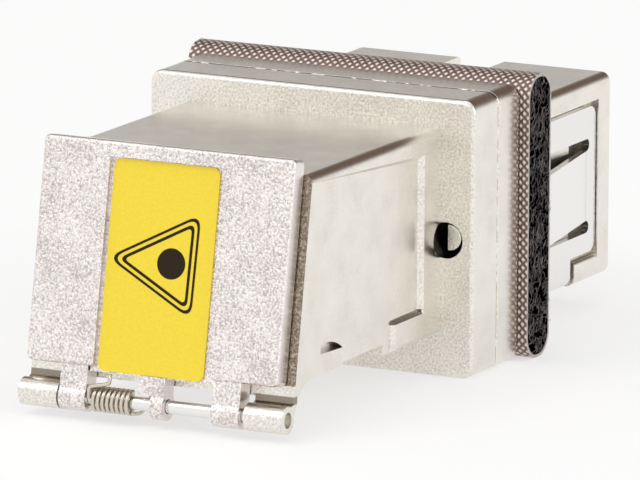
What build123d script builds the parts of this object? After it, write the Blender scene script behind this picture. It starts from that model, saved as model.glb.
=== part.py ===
"""Shuttered bulkhead adapter for push-pull fibre-optic plugs, in millimetres.

Frame: the origin is on the optical axis, in the plane where the two cast housings
meet. +Y runs along the axis to the equipment side, -Y to the shuttered plug side,
+X to the right seen from the plug side, and +Z up, towards the keyways.
"""
from build123d import *
import os
from math import atan, cos, degrees, radians, sin

os.makedirs("parts", exist_ok=True)

# ---------------------------------------------------------------- driving dimensions
# Flange, made of one plate on each housing.
FLANGE_HALF_W = 8.05
FLANGE_H = 12.54
FLANGE_MID_Z = 0.18
FLANGE_CORNER_R = 0.6
FRONT_PLATE_T = 2.42
REAR_PLATE_T = 2.07

# Standard plug port, the same at both ends.
PORT_HALF_W = 4.55
PORT_HALF_H = 3.72
KEY_HALF_W = 1.15
KEY_TOP_Z = 4.5
INSERT_HALF_W = 5.5
INSERT_HALF_H = 4.0
INSERT_T = 1.6
CHANNEL_HALF_W = 5.45
CHANNEL_HALF_H = 2.3
CHANNEL_END = 11.3

# Rear body, which passes through the panel.
BODY_HALF_W = 6.45
BODY_HALF_H = 4.65
REAR_LEN = 15.15

# Front barrel: slightly tapered by the casting draft, with a shallow panel sunk into each side.
BARREL_ROOT_HALF_W = 6.45
BARREL_NOSE_HALF_W = 6.43
BARREL_TOP_ROOT = 5.14
BARREL_TOP_NOSE = 5.31
BARREL_BOTTOM = -4.3
SIDE_BOTTOM = -3.6
SIDE_BOTTOM_REAR = -4.1
PANEL_REAR_X = 6.22
PANEL_REAR_Y = -4.35
PANEL_FLARE = 0.0161
PANEL_STEP_Y = -7.10
PANEL_LOW = -2.67

# Shutter hinge and door. The closed door leans back by LEAN from upright.
LEAN = atan(0.178)
HINGE_Y = -17.40
HINGE_Z = -5.10
DOOR_HALF_W = 6.12
DOOR_MID_X = -0.06
DOOR_FRONT = 0.64
DOOR_T = 1.05
DOOR_BOTTOM = 1.40
DOOR_TOP = 11.28
RECESS_HALF_W = 2.87
RECESS_TOP = 10.60
RECESS_DEPTH = 0.25
RIM_GAP = 0.06
KNUCKLE_R = 0.62
LUG_R = 0.62
LUG_INNER = 4.55
LUG_OUTER = 6.45
PIN_R = 0.30
PIN_HALF_L = 6.1

# Torsion spring.
WIRE_R = 0.09
LEG_R = 0.08
LEG_OVERLAP = 0.06
COIL_R = 0.49
COIL_PITCH = 0.232
COIL_TURNS = 8.25
COIL_START_X = -3.04

# Alignment sleeve for 2.5 mm ferrules and its holder.
SLEEVE_R_IN = 1.25
SLEEVE_R_OUT = 1.60
SLEEVE_LEN = 11.4
SLEEVE_SLIT = 0.5
HOLDER_R_OUT = 2.3
HOLDER_R_IN = 1.66
HOLDER_LEN = 6.4
HOLDER_LIP = 0.5
HOLDER_MOUTH_R = 1.5

# Latch hooks, one pair in each port.
HOOK_IN = 4.05
HOOK_T = 0.70
HOOK_HALF_H = 1.9
HOOK_TIP = 9.3
HOOK_HEAD_LEN = 1.1
HOOK_HEAD_IN = 3.35
FLEX_GAP = 0.05

# Panel clip, bent from one strip of spring sheet.
SHEET_T = 0.30
CLIP_OUT = 6.35
CLIP_FRONT = 4.75
CLIP_REAR = 13.75
CLIP_TOP = 3.38
CLIP_SHOULDER = -3.33
STRAP_REAR = 11.2
CLIP_BOTTOM = -4.58
LATCH_HALF_H = 1.62
LATCH_MID_Z = -0.24
LATCH_ROOT = 12.75
LATCH_TIP = 5.9
LATCH_BEND = 9.1
SLIT_W = 0.55

# Gasket: conductive cloth over foam, stuck to the flange.
TAPE_T = 0.08
GASKET_HALF_W = 8.5
GASKET_LOW = -6.08
GASKET_HIGH = 6.78
GASKET_T = 2.3
CLOTH_T = 0.12
GASKET_HOLE_HALF_W = 6.6
GASKET_HOLE_HALF_H = 4.8

# Cross pins that hold the housings together.
ASSY_X = 6.68
ASSY_Z = 0.10
ASSY_HOLE_R = 0.82
ASSY_PIN_R = 0.62
ASSY_PIN_X = 6.79
ASSY_PIN_Z = 0.22
ASSY_PIN_STEP = 0.05

# ---------------------------------------------------------------- planes and helpers
AXIS_POINT = (0, HINGE_Y, HINGE_Z)
OUTWARD = (0, -cos(LEAN), sin(LEAN))
# door_face: x across, y up the door, z out of the door's face, origin on the hinge.
door_face = Plane(origin=AXIS_POINT, x_dir=(1, 0, 0), z_dir=OUTWARD)
# door_side: x into the object, y up the door, z along the hinge.
door_side = Plane(origin=AXIS_POINT, x_dir=(0, cos(LEAN), -sin(LEAN)), z_dir=(1, 0, 0))
RIM_BACK = DOOR_T - DOOR_FRONT + RIM_GAP


def rim_y(z):
    """Y of the barrel's leaning front rim at height z."""
    along = (z - HINGE_Z + RIM_BACK * sin(LEAN)) / cos(LEAN)
    return HINGE_Y + RIM_BACK * cos(LEAN) + along * sin(LEAN)


def finish(part, name):
    """Label a finished sub-part and write its STEP file."""
    part.label = name
    export_step(part, "parts/" + name + ".step")


NOSE_Y = rim_y(BARREL_BOTTOM) - 2.0


def plan_outline(extra):
    """Points of the barrel's tapered outline seen from above, made wider by extra."""
    root = BARREL_ROOT_HALF_W + extra
    nose = BARREL_NOSE_HALF_W + extra
    return [(-root, 0), (root, 0), (nose, NOSE_Y), (-nose, NOSE_Y)]


# ---------------------------------------------------------------- sunk side panels of the barrel
# Tool for both sides. Its floor flares towards the rim and its walls slope outwards by 45 degrees.
panel_floor = Plane(
    origin=(PANEL_REAR_X, PANEL_REAR_Y, 0),
    x_dir=(-PANEL_FLARE, 1, 0),
    z_dir=(1, PANEL_FLARE, 0),
)
with BuildPart() as side_panels:
    with BuildSketch(panel_floor):
        Polygon(
            (0, 4.02),
            (0, PANEL_LOW),
            (PANEL_STEP_Y - PANEL_REAR_Y, PANEL_LOW),
            (PANEL_STEP_Y - PANEL_REAR_Y, -6.5),
            (NOSE_Y, -6.5),
            (NOSE_Y, 5.62),
            align=None,
        )
    extrude(amount=0.8, taper=-45)
    mirror(about=Plane.YZ)

# ---------------------------------------------------------------- flange plates
with BuildPart() as front_plate:
    with BuildSketch(Plane.XZ):
        with Locations((0, FLANGE_MID_Z)):
            RectangleRounded(2 * FLANGE_HALF_W, FLANGE_H, FLANGE_CORNER_R)
    extrude(amount=FRONT_PLATE_T)
    fillet(faces().sort_by(Axis.Y)[0].edges(), radius=0.22)
    chamfer(faces().sort_by(Axis.Y)[-1].edges(), length=0.10)

with BuildPart() as rear_plate:
    with BuildSketch(Plane.XZ):
        with Locations((0, FLANGE_MID_Z)):
            RectangleRounded(2 * FLANGE_HALF_W, FLANGE_H, FLANGE_CORNER_R)
    extrude(amount=-REAR_PLATE_T)
    chamfer(faces().sort_by(Axis.Y)[0].edges(), length=0.10)
    fillet(faces().sort_by(Axis.Y)[-1].edges(), radius=0.06)

# ---------------------------------------------------------------- front housing
with BuildPart() as front_housing:
    # Barrel: the side profile, kept inside the tapered plan outline.
    with BuildSketch(Plane.YZ):
        Polygon(
            (0, BARREL_TOP_ROOT),
            (0, BARREL_BOTTOM),
            (NOSE_Y, BARREL_BOTTOM),
            (NOSE_Y, BARREL_TOP_NOSE),
            align=None,
        )
    extrude(amount=8, both=True)
    with BuildSketch(Plane.XY):
        Polygon(*plan_outline(0), align=None)
    extrude(amount=8, both=True, mode=Mode.INTERSECT)
    long_edges = edges().filter_by(lambda e: abs(e.tangent_at(0.5).Y) > 0.9)
    fillet(long_edges.group_by(Axis.Z)[-1], radius=0.45)
    # The underside is relieved along both sides, and more so where the hinge ears are.
    for side in (-1, 1):
        with BuildSketch(Plane.YZ.offset(side * 6.9)):
            Polygon(
                (0, -6),
                (0, SIDE_BOTTOM_REAR),
                (-7.9, SIDE_BOTTOM_REAR),
                (-7.9, SIDE_BOTTOM),
                (NOSE_Y, SIDE_BOTTOM),
                (NOSE_Y, -6),
                align=None,
            )
        extrude(amount=-side * 1.9, mode=Mode.SUBTRACT)
    low_edges = edges().filter_by(lambda e: abs(e.tangent_at(0.5).Y) > 0.9 and abs(e.center().X) > 6.1)
    fillet(low_edges.filter_by(lambda e: e.center().Z < -3), radius=0.22)
    # Ears and lugs that carry the hinge pin.
    for side in (-1, 1):
        with BuildSketch(Plane.YZ.offset(side * LUG_INNER)):
            with BuildLine():
                Polyline(
                    (-11.95, SIDE_BOTTOM + 0.5),
                    (-11.95, SIDE_BOTTOM - 0.1),
                    (-15.05, SIDE_BOTTOM - 0.1),
                )
                ThreePointArc((-15.05, SIDE_BOTTOM - 0.1), (-16.23, -4.15), (-16.79, HINGE_Z))
                Polyline(
                    (-16.79, HINGE_Z),
                    (HINGE_Y, HINGE_Z),
                    (HINGE_Y, HINGE_Z + LUG_R),
                    (NOSE_Y, HINGE_Z + LUG_R),
                    (NOSE_Y, SIDE_BOTTOM + 0.5),
                    (-11.95, SIDE_BOTTOM + 0.5),
                )
            make_face()
        extrude(amount=side * (LUG_OUTER - LUG_INNER))
    # The leaning rim plane trims everything in front of it, down to the lugs.
    with BuildSketch(door_side):
        with Locations((RIM_BACK - 4, DOOR_TOP / 2)):
            Rectangle(8, DOOR_TOP + 8)
    extrude(amount=10, both=True, mode=Mode.SUBTRACT)
    for side in (-1, 1):
        with BuildSketch(Plane.YZ.offset(side * LUG_INNER)):
            with Locations((HINGE_Y, HINGE_Z)):
                Circle(LUG_R)
            Polygon(
                (HINGE_Y, HINGE_Z),
                (-16.79, HINGE_Z),
                (-16.4, -4.35),
                (HINGE_Y + 0.35, HINGE_Z + 0.53),
                align=None,
            )
        extrude(amount=side * (LUG_OUTER - LUG_INNER))
    # The side panels run on, flush, over the ears and the lugs.
    add(side_panels.part, mode=Mode.SUBTRACT)
    add(front_plate.part)
    # Plug port, latch channels, insert pocket and inner keyway.
    with BuildSketch(Plane.XZ):
        RectangleRounded(2 * PORT_HALF_W, 2 * PORT_HALF_H, 0.3)
    extrude(amount=30, mode=Mode.SUBTRACT)
    with BuildSketch(Plane.XZ):
        Rectangle(2 * CHANNEL_HALF_W, 2 * CHANNEL_HALF_H)
    extrude(amount=CHANNEL_END, mode=Mode.SUBTRACT)
    with BuildSketch(Plane.XZ):
        RectangleRounded(2 * INSERT_HALF_W, 2 * INSERT_HALF_H, 0.5)
    extrude(amount=INSERT_T, mode=Mode.SUBTRACT)
    with BuildSketch(Plane.XZ):
        with Locations((0, KEY_TOP_Z / 2)):
            Rectangle(2 * KEY_HALF_W, KEY_TOP_Z)
    extrude(amount=30, mode=Mode.SUBTRACT)
    # Half-moon pockets above the ears.
    for side in (-1, 1):
        with BuildSketch(Plane.YZ.offset(side * 5.98)):
            with BuildLine():
                Polyline((-11.93, -2.92), (-14.17, -2.80), (-14.17, -2.43))
                ThreePointArc((-14.17, -2.43), (-13.15, -2.43), (-11.93, -2.92))
            make_face()
        extrude(amount=side * 1.0, mode=Mode.SUBTRACT)
    # Holes for the assembly pins, each with a short groove along the barrel's wall.
    with BuildSketch(Plane.XZ):
        with Locations((-ASSY_X, ASSY_Z), (ASSY_X, ASSY_Z)):
            Circle(ASSY_HOLE_R)
    extrude(amount=FRONT_PLATE_T, mode=Mode.SUBTRACT)
    with Locations((-ASSY_X, -FRONT_PLATE_T, ASSY_Z), (ASSY_X, -FRONT_PLATE_T, ASSY_Z)):
        Sphere(ASSY_HOLE_R, mode=Mode.SUBTRACT)
    # Hinge pin holes: a close fit, opened out at both ends.
    with BuildSketch(Plane.YZ.offset(-8)):
        with Locations((HINGE_Y, HINGE_Z)):
            Circle(PIN_R + 0.01)
    extrude(amount=16, mode=Mode.SUBTRACT)
    for side in (-1, 1):
        with BuildSketch(Plane.YZ.offset(side * (PIN_HALF_L + 0.02))):
            with Locations((HINGE_Y, HINGE_Z)):
                Circle(PIN_R + 0.05)
        extrude(amount=side * 1.0, mode=Mode.SUBTRACT)
finish(front_housing.part, "front_housing")

# ---------------------------------------------------------------- rear housing
with BuildPart() as rear_housing:
    with BuildSketch(Plane.XZ):
        Rectangle(2 * BODY_HALF_W, 2 * BODY_HALF_H)
    extrude(amount=-REAR_LEN)
    fillet(edges().filter_by(Axis.Y), radius=0.42)
    fillet(edges().group_by(Axis.Y)[-1], radius=0.2)
    add(rear_plate.part)
    # Clip recess: both sides, then across the underside for the strap.
    recess_floor = CLIP_OUT - SHEET_T - 0.03
    for side in (-1, 1):
        with BuildSketch(Plane.YZ.offset(side * recess_floor)):
            with BuildLine():
                Polyline(
                    (CLIP_FRONT - 0.15, 3.62),
                    (CLIP_REAR + 0.07, 3.62),
                    (CLIP_REAR + 0.07, -3.5),
                    (STRAP_REAR + 0.2, -3.5),
                    (STRAP_REAR + 0.2, -6),
                    (CLIP_FRONT - 0.15, -6),
                    close=True,
                )
            make_face()
        extrude(amount=side * 1.0, mode=Mode.SUBTRACT)
    ledges = edges().filter_by(Axis.Y).filter_by(lambda e: abs(e.center().Z + 3.5) < 0.01)
    fillet(ledges.filter_by(lambda e: abs(e.center().X) > BODY_HALF_W - 0.01), radius=0.28)
    with BuildSketch(Plane.XY.offset(CLIP_BOTTOM + SHEET_T + 0.03)):
        with Locations((0, (CLIP_FRONT + STRAP_REAR + 0.05) / 2)):
            Rectangle(20, STRAP_REAR - CLIP_FRONT + 0.35)
    extrude(amount=-1.0, mode=Mode.SUBTRACT)
    # Room behind the roots of the two panel latches.
    for side in (-1, 1):
        with BuildSketch(Plane.YZ.offset(side * (recess_floor - 0.75))):
            with Locations(((CHANNEL_END + 0.3 + LATCH_ROOT + 0.3) / 2, LATCH_MID_Z)):
                Rectangle(LATCH_ROOT - CHANNEL_END, 2 * (LATCH_HALF_H + SLIT_W))
        extrude(amount=side * 0.8, mode=Mode.SUBTRACT)
    # Plug port, latch channels, insert pocket and inner keyway.
    with BuildSketch(Plane.XZ):
        RectangleRounded(2 * PORT_HALF_W, 2 * PORT_HALF_H, 0.3)
    extrude(amount=-30, mode=Mode.SUBTRACT)
    with BuildSketch(Plane.XZ):
        Rectangle(2 * CHANNEL_HALF_W, 2 * CHANNEL_HALF_H)
    extrude(amount=-CHANNEL_END, mode=Mode.SUBTRACT)
    with BuildSketch(Plane.XZ):
        RectangleRounded(2 * INSERT_HALF_W, 2 * INSERT_HALF_H, 0.5)
    extrude(amount=-INSERT_T, mode=Mode.SUBTRACT)
    # The keyway is cut right through the thinner top wall behind the gasket.
    with BuildSketch(Plane.XZ.offset(-5.2)):
        with Locations((0, 3)):
            Rectangle(2 * KEY_HALF_W, 6)
    extrude(amount=-20, mode=Mode.SUBTRACT)
    with BuildSketch(Plane.XZ):
        with Locations((-ASSY_PIN_X, ASSY_PIN_Z), (ASSY_PIN_X, ASSY_PIN_Z)):
            Circle(ASSY_PIN_R)
    extrude(amount=-1.5, mode=Mode.SUBTRACT)
finish(rear_housing.part, "rear_housing")

# ---------------------------------------------------------------- assembly pins
with BuildPart() as assembly_pins:
    with BuildSketch(Plane.XZ.offset(-1.5)):
        with Locations((-ASSY_PIN_X, ASSY_PIN_Z), (ASSY_PIN_X, ASSY_PIN_Z)):
            Circle(ASSY_PIN_R)
    extrude(amount=1.5 + FRONT_PLATE_T - 0.1)
    fillet(faces().sort_by(Axis.Y)[:2].edges(), radius=0.12)
    # The inner half of each end is cut back.
    with BuildSketch(Plane.XZ.offset(FRONT_PLATE_T)):
        Rectangle(2 * (ASSY_PIN_X - ASSY_PIN_STEP), 4)
    extrude(amount=-1.4, mode=Mode.SUBTRACT)
finish(assembly_pins.part, "assembly_pins")

# ---------------------------------------------------------------- shutter door
LEFT_KNUCKLE = (-4.47, -3.17)
RIGHT_KNUCKLE = (2.97, 4.30)
TAB_X = (-0.65, 0.62)
FLOOR_BOTTOM = 1.20
DOOR_BACK = DOOR_T - DOOR_FRONT


def strip_profile(neck_front, top):
    """Side profile of a hinge strip: a knuckle round the pin with its neck above."""
    Polygon(
        (DOOR_BACK, top),
        (DOOR_BACK, 0.45),
        (KNUCKLE_R * cos(radians(12)), KNUCKLE_R * sin(radians(12))),
        (0, 0),
        (-KNUCKLE_R * cos(radians(35)), KNUCKLE_R * sin(radians(35))),
        (-neck_front, 0.86),
        (-neck_front, top),
        align=None,
    )
    Circle(KNUCKLE_R)


with BuildPart() as shutter_door:
    with BuildSketch(door_face.offset(-DOOR_BACK)):
        with Locations((DOOR_MID_X, (DOOR_BOTTOM + DOOR_TOP) / 2)):
            RectangleRounded(2 * DOOR_HALF_W, DOOR_TOP - DOOR_BOTTOM, 0.25)
    extrude(amount=DOOR_T)
    front_edges = faces().sort_by(lambda f: f.center().Y)[0].edges()
    fillet(front_edges, radius=0.18)
    # The middle goes a little lower than the two wings.
    with BuildSketch(door_face.offset(-DOOR_BACK)):
        with Locations((0, (FLOOR_BOTTOM + DOOR_BOTTOM + 1) / 2)):
            Rectangle(2 * RECESS_HALF_W + 0.5, DOOR_BOTTOM + 1 - FLOOR_BOTTOM)
    extrude(amount=DOOR_T - RECESS_DEPTH)
    # Sticker recess.
    with BuildSketch(door_face.offset(DOOR_FRONT)):
        with Locations((0, RECESS_TOP / 2)):
            Rectangle(2 * RECESS_HALF_W, RECESS_TOP)
    extrude(amount=-RECESS_DEPTH, mode=Mode.SUBTRACT)
    for left, right in (LEFT_KNUCKLE, RIGHT_KNUCKLE):
        with BuildSketch(door_side.offset(left)):
            strip_profile(0.5, DOOR_BOTTOM + 0.3)
        extrude(amount=right - left)
    # Centre tab: a half-width knuckle, with a relief beside the coil's end.
    with BuildSketch(door_side.offset(TAB_X[0])):
        Polygon((DOOR_BACK, 1.25), (DOOR_BACK, 0.42), (-0.52, 0.42), (-0.52, 1.25), align=None)
    extrude(amount=-TAB_X[0])
    with BuildSketch(door_side):
        strip_profile(0.52, 1.25)
    extrude(amount=TAB_X[1])
    with BuildSketch(door_side.offset(-5)):
        Circle(PIN_R + 0.03)
    extrude(amount=10, mode=Mode.SUBTRACT)
finish(shutter_door.part, "shutter_door")

# ---------------------------------------------------------------- sticker on the door
STICKER_W = 5.15
STICKER_H = 9.29
STICKER_X = -0.15
STICKER_MID = 5.91
STICKER_T = 0.08
with BuildPart() as shutter_sticker:
    with BuildSketch(door_face.offset(DOOR_FRONT - RECESS_DEPTH)):
        with Locations((STICKER_X, STICKER_MID)):
            RectangleRounded(STICKER_W, STICKER_H, 0.35)
    extrude(amount=STICKER_T)
finish(shutter_sticker.part, "shutter_sticker")

# ---------------------------------------------------------------- hinge pin
with BuildPart() as hinge_pin:
    with BuildSketch(Plane.YZ.offset(-PIN_HALF_L)):
        with Locations((HINGE_Y, HINGE_Z)):
            Circle(PIN_R)
    extrude(amount=2 * PIN_HALF_L)
    chamfer(edges().filter_by(GeomType.CIRCLE), length=0.05)
finish(hinge_pin.part, "hinge_pin")

# ---------------------------------------------------------------- torsion spring
COIL_END_X = COIL_START_X + COIL_TURNS * COIL_PITCH
LEG_X = -2.07
coil_plane = Plane(origin=(COIL_START_X, HINGE_Y, HINGE_Z), x_dir=OUTWARD, z_dir=(1, 0, 0))
with BuildPart() as shutter_spring:
    with BuildLine() as coil_line:
        add(coil_plane.location * Helix(COIL_PITCH, COIL_TURNS * COIL_PITCH, COIL_R, mode=Mode.PRIVATE))
    with BuildSketch(Plane(origin=coil_line.line @ 0, z_dir=coil_line.line % 0)):
        Circle(WIRE_R)
    sweep(path=coil_line.line, is_frenet=True)
    # Leg that presses on the door: up the front of the coil, across, then up the recess.
    with BuildLine(door_face.offset(COIL_R)) as door_leg:
        FilletPolyline(
            (COIL_START_X, -LEG_OVERLAP),
            (COIL_START_X, 0.52),
            (LEG_X, 0.72),
            (LEG_X, 1.16),
            radius=0.12,
        )
    with BuildSketch(Plane(origin=door_leg.line @ 0, z_dir=door_leg.line % 0)):
        Circle(LEG_R)
    sweep(path=door_leg.line)
    # Leg that presses up on the housing: back under the coil, then up to the sill.
    with BuildLine(door_side.offset(COIL_END_X)) as sill_leg:
        FilletPolyline((-LEG_OVERLAP, -COIL_R), (1.0, -COIL_R), (2.0, 0.46), (2.8, 0.60), radius=0.3)
    with BuildSketch(Plane(origin=sill_leg.line @ 0, z_dir=sill_leg.line % 0)):
        Circle(LEG_R)
    sweep(path=sill_leg.line)
finish(shutter_spring.part, "shutter_spring")

# ---------------------------------------------------------------- port inserts
for insert_name, direction in (("front_insert", -1), ("rear_insert", 1)):
    with BuildPart() as insert:
        # Plate that sits in the housing's pocket, with half of the sleeve holder.
        with BuildSketch(Plane.XZ):
            RectangleRounded(2 * INSERT_HALF_W - 0.1, 2 * INSERT_HALF_H - 0.1, 0.45)
        extrude(amount=-direction * INSERT_T)
        with BuildSketch(Plane.XZ):
            Circle(HOLDER_R_OUT)
        extrude(amount=-direction * HOLDER_LEN)
        with BuildSketch(Plane.XZ):
            Circle(HOLDER_MOUTH_R)
        extrude(amount=-direction * HOLDER_LEN, mode=Mode.SUBTRACT)
        with BuildSketch(Plane.XZ):
            Circle(HOLDER_R_IN)
        extrude(amount=-direction * (HOLDER_LEN - HOLDER_LIP), mode=Mode.SUBTRACT)
    finish(insert.part, insert_name)

# ---------------------------------------------------------------- latch hooks
for end_name, direction in (("front", -1), ("rear", 1)):
    for side_name, side in (("left", -1), ("right", 1)):
        arm_out = HOOK_IN + HOOK_T
        head_y = HOOK_TIP - HOOK_HEAD_LEN
        outline = [
            (HOOK_IN, INSERT_T + FLEX_GAP),
            (arm_out, INSERT_T + FLEX_GAP),
            (arm_out, HOOK_TIP - 0.2),
            (arm_out - 0.2, HOOK_TIP),
            (HOOK_IN, HOOK_TIP),
            (HOOK_HEAD_IN, HOOK_TIP - 0.75),
            (HOOK_HEAD_IN, head_y),
            (HOOK_IN, head_y),
        ]
        with BuildPart() as hook:
            with BuildSketch(Plane.XY.offset(-HOOK_HALF_H)):
                Polygon(*[(side * x, direction * y) for x, y in outline], align=None)
            extrude(amount=2 * HOOK_HALF_H)
        finish(hook.part, end_name + "_hook_" + side_name)

# ---------------------------------------------------------------- alignment sleeve
with BuildPart() as alignment_sleeve:
    with BuildSketch(Plane.XZ.offset(-SLEEVE_LEN / 2)):
        Circle(SLEEVE_R_OUT)
        Circle(SLEEVE_R_IN, mode=Mode.SUBTRACT)
        with Locations((0, SLEEVE_R_OUT)):
            Rectangle(SLEEVE_SLIT, 2 * SLEEVE_R_OUT - 2 * SLEEVE_R_IN + 0.6, mode=Mode.SUBTRACT)
    extrude(amount=SLEEVE_LEN)
finish(alignment_sleeve.part, "alignment_sleeve")

# ---------------------------------------------------------------- panel clip
with BuildPart() as panel_clip:
    # U-shaped section round the body, then trimmed to the outline of its sides.
    with BuildSketch(Plane.XZ.offset(-CLIP_REAR)):
        with Locations((0, (CLIP_TOP + CLIP_BOTTOM) / 2)):
            RectangleRounded(2 * CLIP_OUT, CLIP_TOP - CLIP_BOTTOM, 0.39)
        with Locations((0, CLIP_TOP - 0.5)):
            Rectangle(2 * CLIP_OUT, 1.0)
        with Locations((0, (CLIP_TOP + CLIP_BOTTOM) / 2 + SHEET_T)):
            RectangleRounded(2 * (CLIP_OUT - SHEET_T), CLIP_TOP - CLIP_BOTTOM, 0.09, mode=Mode.SUBTRACT)
        with Locations((0, CLIP_TOP)):
            Rectangle(2 * (CLIP_OUT - SHEET_T), 2.0, mode=Mode.SUBTRACT)
    extrude(amount=CLIP_REAR - CLIP_FRONT)
    with BuildSketch(Plane.YZ.offset(-8)):
        Polygon(
            (STRAP_REAR, -6),
            (STRAP_REAR, CLIP_SHOULDER),
            (CLIP_REAR, CLIP_SHOULDER),
            (CLIP_REAR + 1, CLIP_SHOULDER),
            (CLIP_REAR + 1, -6),
            align=None,
        )
    extrude(amount=16, mode=Mode.SUBTRACT)
    # Rounded rear corners of the two sides.
    rear_corners = edges().filter_by(Axis.X).filter_by(lambda e: e.center().Y > CLIP_REAR - 0.01)
    fillet(rear_corners, radius=0.6)
    # Room for the latches, with a round-ended slit above and below each one.
    with BuildSketch(Plane.YZ.offset(-8)):
        window_mid = (CLIP_FRONT + LATCH_ROOT + FLEX_GAP) / 2 - 0.5
        with Locations((window_mid, LATCH_MID_Z)):
            Rectangle(LATCH_ROOT + FLEX_GAP - CLIP_FRONT + 1, 2 * LATCH_HALF_H)
        slit_z = LATCH_HALF_H + SLIT_W / 2
        for z in (LATCH_MID_Z - slit_z, LATCH_MID_Z + slit_z):
            with Locations((window_mid, z)):
                Rectangle(LATCH_ROOT + FLEX_GAP - CLIP_FRONT + 1, SLIT_W)
            with Locations((LATCH_ROOT + FLEX_GAP, z)):
                Circle(SLIT_W / 2)
    extrude(amount=16, mode=Mode.SUBTRACT)
finish(panel_clip.part, "panel_clip")

for side_name, side in (("left", -1), ("right", 1)):
    root_x = side * (CLIP_OUT - SHEET_T / 2)
    bend = radians(LATCH_BEND)
    # latch_plane: x along the latch towards its tip, z outward through the sheet.
    latch_plane = Plane(
        origin=(root_x, LATCH_ROOT, LATCH_MID_Z),
        x_dir=(side * sin(bend), -cos(bend), 0),
        z_dir=(side * cos(bend), sin(bend), 0),
    )
    with BuildPart() as latch:
        with BuildSketch(latch_plane.offset(-SHEET_T / 2)):
            with Locations(((LATCH_ROOT - LATCH_TIP) / 2, 0)):
                Rectangle(LATCH_ROOT - LATCH_TIP, 2 * LATCH_HALF_H - 0.01)
        extrude(amount=SHEET_T)
        tip_edges = edges().filter_by(lambda e: abs(e.tangent_at(0.5).Z) < 0.1 and e.length < 0.31)
        fillet(tip_edges.sort_by(Axis.Y)[:2], radius=0.4)
    finish(latch.part, "clip_latch_" + side_name)

# ---------------------------------------------------------------- gasket
tape_back = REAR_PLATE_T + TAPE_T
gasket_mid_y = tape_back + GASKET_T / 2
gasket_mid_z = (GASKET_LOW + GASKET_HIGH) / 2


# Punched opening for the rear body.
with BuildPart() as gasket_hole:
    with BuildSketch(Plane.XZ):
        RectangleRounded(2 * GASKET_HOLE_HALF_W, 2 * GASKET_HOLE_HALF_H, 0.4)
    extrude(amount=-10)

with BuildPart() as gasket_adhesive:
    with BuildSketch(Plane.XZ.offset(-REAR_PLATE_T)):
        with Locations((0, FLANGE_MID_Z)):
            Rectangle(2 * FLANGE_HALF_W - 0.5, FLANGE_H - 1.6)
    extrude(amount=-TAPE_T)
    add(gasket_hole.part, mode=Mode.SUBTRACT)
finish(gasket_adhesive.part, "gasket_adhesive")

with BuildPart() as gasket_foam:
    with BuildSketch(Plane.YZ.offset(-GASKET_HALF_W)):
        with Locations((gasket_mid_y, gasket_mid_z)):
            RectangleRounded(GASKET_T - 2 * CLOTH_T, GASKET_HIGH - GASKET_LOW - 2 * CLOTH_T, 0.9)
    extrude(amount=2 * GASKET_HALF_W)
    add(gasket_hole.part, mode=Mode.SUBTRACT)
finish(gasket_foam.part, "gasket_foam")

with BuildPart() as gasket_cloth:
    with BuildSketch(Plane.YZ.offset(-GASKET_HALF_W)):
        with Locations((gasket_mid_y, gasket_mid_z)):
            RectangleRounded(GASKET_T, GASKET_HIGH - GASKET_LOW, 0.9 + CLOTH_T)
            RectangleRounded(
                GASKET_T - 2 * CLOTH_T,
                GASKET_HIGH - GASKET_LOW - 2 * CLOTH_T,
                0.9,
                mode=Mode.SUBTRACT,
            )
    extrude(amount=2 * GASKET_HALF_W)
    add(gasket_hole.part, mode=Mode.SUBTRACT)
finish(gasket_cloth.part, "gasket_cloth")
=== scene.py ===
import math
import random

import bmesh
import bpy
from bpy.props import FloatProperty, FloatVectorProperty, IntProperty, PointerProperty
from mathutils import Matrix, Vector


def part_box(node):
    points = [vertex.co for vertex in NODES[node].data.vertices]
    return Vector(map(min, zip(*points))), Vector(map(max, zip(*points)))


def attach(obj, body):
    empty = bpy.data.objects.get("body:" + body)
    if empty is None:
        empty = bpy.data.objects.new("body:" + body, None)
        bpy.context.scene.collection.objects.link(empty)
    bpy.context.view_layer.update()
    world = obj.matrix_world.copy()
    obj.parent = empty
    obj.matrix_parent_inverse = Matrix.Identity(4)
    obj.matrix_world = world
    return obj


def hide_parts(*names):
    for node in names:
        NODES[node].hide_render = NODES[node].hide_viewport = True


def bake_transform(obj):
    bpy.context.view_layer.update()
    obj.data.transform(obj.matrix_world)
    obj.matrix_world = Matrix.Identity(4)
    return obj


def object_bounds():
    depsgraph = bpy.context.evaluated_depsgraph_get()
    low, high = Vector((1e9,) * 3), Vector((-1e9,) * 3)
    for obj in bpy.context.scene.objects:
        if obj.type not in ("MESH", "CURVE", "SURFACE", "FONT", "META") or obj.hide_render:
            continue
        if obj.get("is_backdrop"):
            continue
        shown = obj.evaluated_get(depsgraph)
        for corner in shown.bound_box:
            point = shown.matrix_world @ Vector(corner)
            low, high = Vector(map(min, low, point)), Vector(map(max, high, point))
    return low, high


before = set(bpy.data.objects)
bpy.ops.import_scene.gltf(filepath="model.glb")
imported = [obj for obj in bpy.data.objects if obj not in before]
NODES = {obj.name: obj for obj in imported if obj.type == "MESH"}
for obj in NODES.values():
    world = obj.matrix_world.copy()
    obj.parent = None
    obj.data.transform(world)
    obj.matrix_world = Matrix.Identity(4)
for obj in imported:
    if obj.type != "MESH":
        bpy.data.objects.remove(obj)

bl_info = {
    "name": "Shuttered Fibre Adapter",
    "version": (1, 0, 0),
    "blender": (4, 5, 0),
    "location": "3D View > Sidebar > Adapter",
    "description": "Finishes a shuttered fibre-optic bulkhead adapter over its CAD frame",
    "category": "Object",
}

MM = 0.001

# Hinge axis of the shutter, and the directions of its closed door.
HINGE = Vector((0, -17.40, -5.10)) * MM
LEAN = math.atan(0.178)
DOOR_UP = Vector((0, math.sin(LEAN), math.cos(LEAN)))
DOOR_OUT = Vector((0, -math.cos(LEAN), math.sin(LEAN)))

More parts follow.
